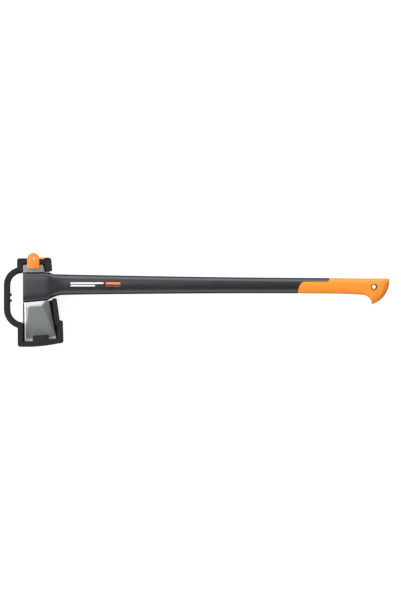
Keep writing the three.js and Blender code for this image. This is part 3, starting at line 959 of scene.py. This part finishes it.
def sweep_band():
    """Sweeps the loop's width round its two corners and down its straight side."""
    put_down()
    reach = TOP_CENTRE[0] - LOOP_INNER, TOP_CENTRE[0] - LOOP_OUTER
    bpy.ops.mesh.primitive_plane_add(size=MM, location=at(TOP_CENTRE[0], reach[0], -LOOP_HALF))
    band = named("carry_loop")
    pick_up(band, edit=True)
    bpy.ops.mesh.merge(type="CENTER")
    bpy.ops.mesh.extrude_region_move(
        TRANSFORM_OT_translate={"value": (0, (reach[1] - reach[0]) * MM, 0)})
    bpy.ops.mesh.select_all(action="SELECT")
    bpy.ops.mesh.select_mode(type="EDGE")
    spin(TOP_CENTRE)
    bpy.ops.mesh.extrude_region_move(
        TRANSFORM_OT_translate={"value": (0, FOOT_CENTRE[1] * MM, 0)})
    spin(FOOT_CENTRE)
    bpy.ops.mesh.select_all(action="SELECT")
    bpy.ops.mesh.extrude_region_move(TRANSFORM_OT_translate={"value": (0, 0, 2 * LOOP_HALF * MM)})
    bpy.ops.mesh.select_all(action="SELECT")
    bpy.ops.mesh.normals_make_consistent(inside=False)
    put_down()
    return band


def band_rim(edge):
    """A test for the edges where the band's sides meet its back or its front."""
    slopes = [abs(face.normal.z) for face in edge.link_faces]
    level = on_level(-LOOP_HALF)(edge) or on_level(LOOP_HALF)(edge)
    return level and max(slopes) > 0.9 and min(slopes) < 0.1


loop = sweep_band()
pick_up(loop, edit=True)
print("band rims", pick("EDGE", band_rim))
bpy.ops.mesh.bevel(offset=2.2 * MM, segments=4, affect="EDGES", clamp_overlap=False)
for y in (-24.3, -39):
    nub = trace("nub", [(-36, y - 3.1), (-28.4, y - 3.1, 2), (-28.4, y + 3.1, 2), (-36, y + 3.1)], -8, 8)
    soften_rims(nub, -8, 8, 0.8)
    combine(loop, nub, "UNION")
combine(loop, block("trim", (-0.9, -150, -30), (30, 60, 30)), "DIFFERENCE")

# %% Join the frame and cut the latch's seat
HUB_RADIUS, HUB_HOLE, GROOVE_RADIUS = 5.5, 3.25, 4.7
RING_RADIUS, RING_BACK, RING_FRONT = 9.2, -15, -12.4
POCKET_RADIUS = 9.8
PIVOT = (PIVOT_X, PIVOT_Y)

sheath = loop
sheath.name = "sheath"
combine(sheath, upper, "UNION")
combine(sheath, lower, "UNION")
combine(sheath, round_bar("hub_bore", PIVOT, HUB_RADIUS + GAP, -40, 40), "DIFFERENCE")
combine(sheath, round_bar("ring_pocket", PIVOT, POCKET_RADIUS, -40, RING_FRONT + GAP), "DIFFERENCE")
combine(sheath, block("lever_step", (40.6, 63, 14.5), (59, 90, 40)), "DIFFERENCE")
dress(sheath, MOULDED)
finish_piece(sheath, "maul", "sheath_plastic", "sheath_frame", smooth=30)

# %% [markdown]
# ## Latch
# The latch is a flat orange tab with a round top, a hollow hub that turns in the upper
# bracket, and a thumb lever.  A traced block whose two top corners are rounded by half
# its width gives the arch in one move.

# %% Latch tab, lever and hub
tab = trace("latch", [
    (10.9, 80.3, 15.05), (10.9, 41.3, 3.5), (41.1, 41.3, 3.5), (41.1, 80.3, 15.05)], 20.5, 24.5)
soften_rims(tab, 20.5, 24.5, 1.1)
lever = trace("lever", [
    (38, 64.1), (52, 64.1, 2.4), (56, 66.2, 1.2), (53, 69, 1.6), (38, 68.4)], 15, 24.1)
soften_rims(lever, 15, 24.1, 0.7)
combine(lever, block("tab_clearance", (37, 60, 14), (41.3, 72, 20.8)), "DIFFERENCE")
combine(tab, lever, "UNION")
hub = round_bar("hub", PIVOT, HUB_RADIUS, -18, 22)
groove = round_bar("groove", PIVOT, 8, RING_BACK - GAP, RING_FRONT + GAP)
combine(groove, round_bar("root", PIVOT, GROOVE_RADIUS, -20, 0), "DIFFERENCE")
combine(hub, groove, "DIFFERENCE")
combine(tab, hub, "UNION")
combine(tab, round_bar("see_through", PIVOT, HUB_HOLE, -40, 40), "DIFFERENCE")
dress(tab, LATCH)
finish_piece(tab, "latch", "latch_plastic", "sheath_latch", smooth=30)

# %% Retaining ring
ring = round_bar("latch_ring", PIVOT, RING_RADIUS, RING_BACK, RING_FRONT)
combine(ring, round_bar("peg", PIVOT, GROOVE_RADIUS + GAP, -20, 0), "DIFFERENCE")
soften_rims(ring, RING_BACK, RING_FRONT, 0.5)
dress(ring, MOULDED)
finish_piece(ring, "latch", "sheath_plastic", "latch_retaining_ring")

# %% [markdown]
# ## Floor and light
# A catalogue picture is lit by big soft boxes on both long sides, so that the handle
# gets one bright band along each shoulder and stays dark in the middle.  Two weaker
# boxes higher up widen those bands, one beyond the toe lights the wedge, and one above
# opens the shadows.  White paper all round would turn the dark tool grey, so the floor
# and the backdrop are bright for the camera and much darker for the tool.

# %% Floor
put_down()
bpy.ops.mesh.primitive_plane_add(size=12, location=(0, 0, 0))
floor = bpy.context.object
floor.name = "floor"

# The camera sees a white floor, and the tool sees a darker one, which keeps its edges
# dark against the white.
paper = Finish("pale_paper", Roughness=0.9)
paper.shader.inputs["Specular IOR Level"].default_value = 0
ray = add_node(paper.tree, "LightPath").outputs["Is Camera Ray"]
paper.feed("Base Color", paper.blend(ray, (0.07, 0.07, 0.07), (0.25, 0.25, 0.25)))
paper.feed("Emission Color", paper.blend(ray, (0.05, 0.05, 0.05), (1, 1, 1)))
paper.shader.inputs["Emission Strength"].default_value = 0.85
dress(floor, paper)


# %% Lights
def softbox(name, place, aim, size, power):
    """A rectangle of light at a place, turned to its aim; the power is in watts."""
    data = bpy.data.lights.new(name, "AREA")
    data.shape = "RECTANGLE"
    data.size, data.size_y = size
    data.energy = power
    light = bpy.data.objects.new(name, data)
    bpy.context.scene.collection.objects.link(light)
    light.location = place
    light.rotation_euler = (Vector(aim) - Vector(place)).to_track_quat("-Z", "Y").to_euler()
    return light


softbox("poll_side_box", (0, 1.5, 0.6), (0, 0, 0.03), (2.8, 1.1), 40)
softbox("edge_side_box", (0, -1.5, 0.6), (0, 0, 0.03), (2.8, 1.0), 19)
softbox("poll_high_box", (0, 1.1, 1.2), (0, 0, 0.03), (2.8, 0.7), 7)
softbox("edge_high_box", (-0.2, -1.1, 1.15), (-0.2, 0, 0.03), (2.6, 0.7), 5)
softbox("toe_side_box", (-1.6, 0.1, 0.9), (-0.4, 0, 0), (1.6, 1.2), 22)
softbox("top_box", (-0.9, 0.5, 2.4), (-0.3, 0, 0), (1.6, 1.2), 18)

world = bpy.data.worlds.new("studio")
bpy.context.scene.world = world
world.use_nodes = True
backdrop = world.node_tree.nodes["Background"]
backdrop.inputs["Color"].default_value = (1, 1, 1, 1)
seen = add_node(world.node_tree, "LightPath").outputs["Is Camera Ray"]
strength = add_node(world.node_tree, "MapRange", To_Min=0.15, To_Max=0.9)
world.node_tree.links.new(seen, strength.inputs["Value"])
world.node_tree.links.new(strength.outputs["Result"], backdrop.inputs["Strength"])
bpy.context.scene.view_settings.view_transform = "Standard"
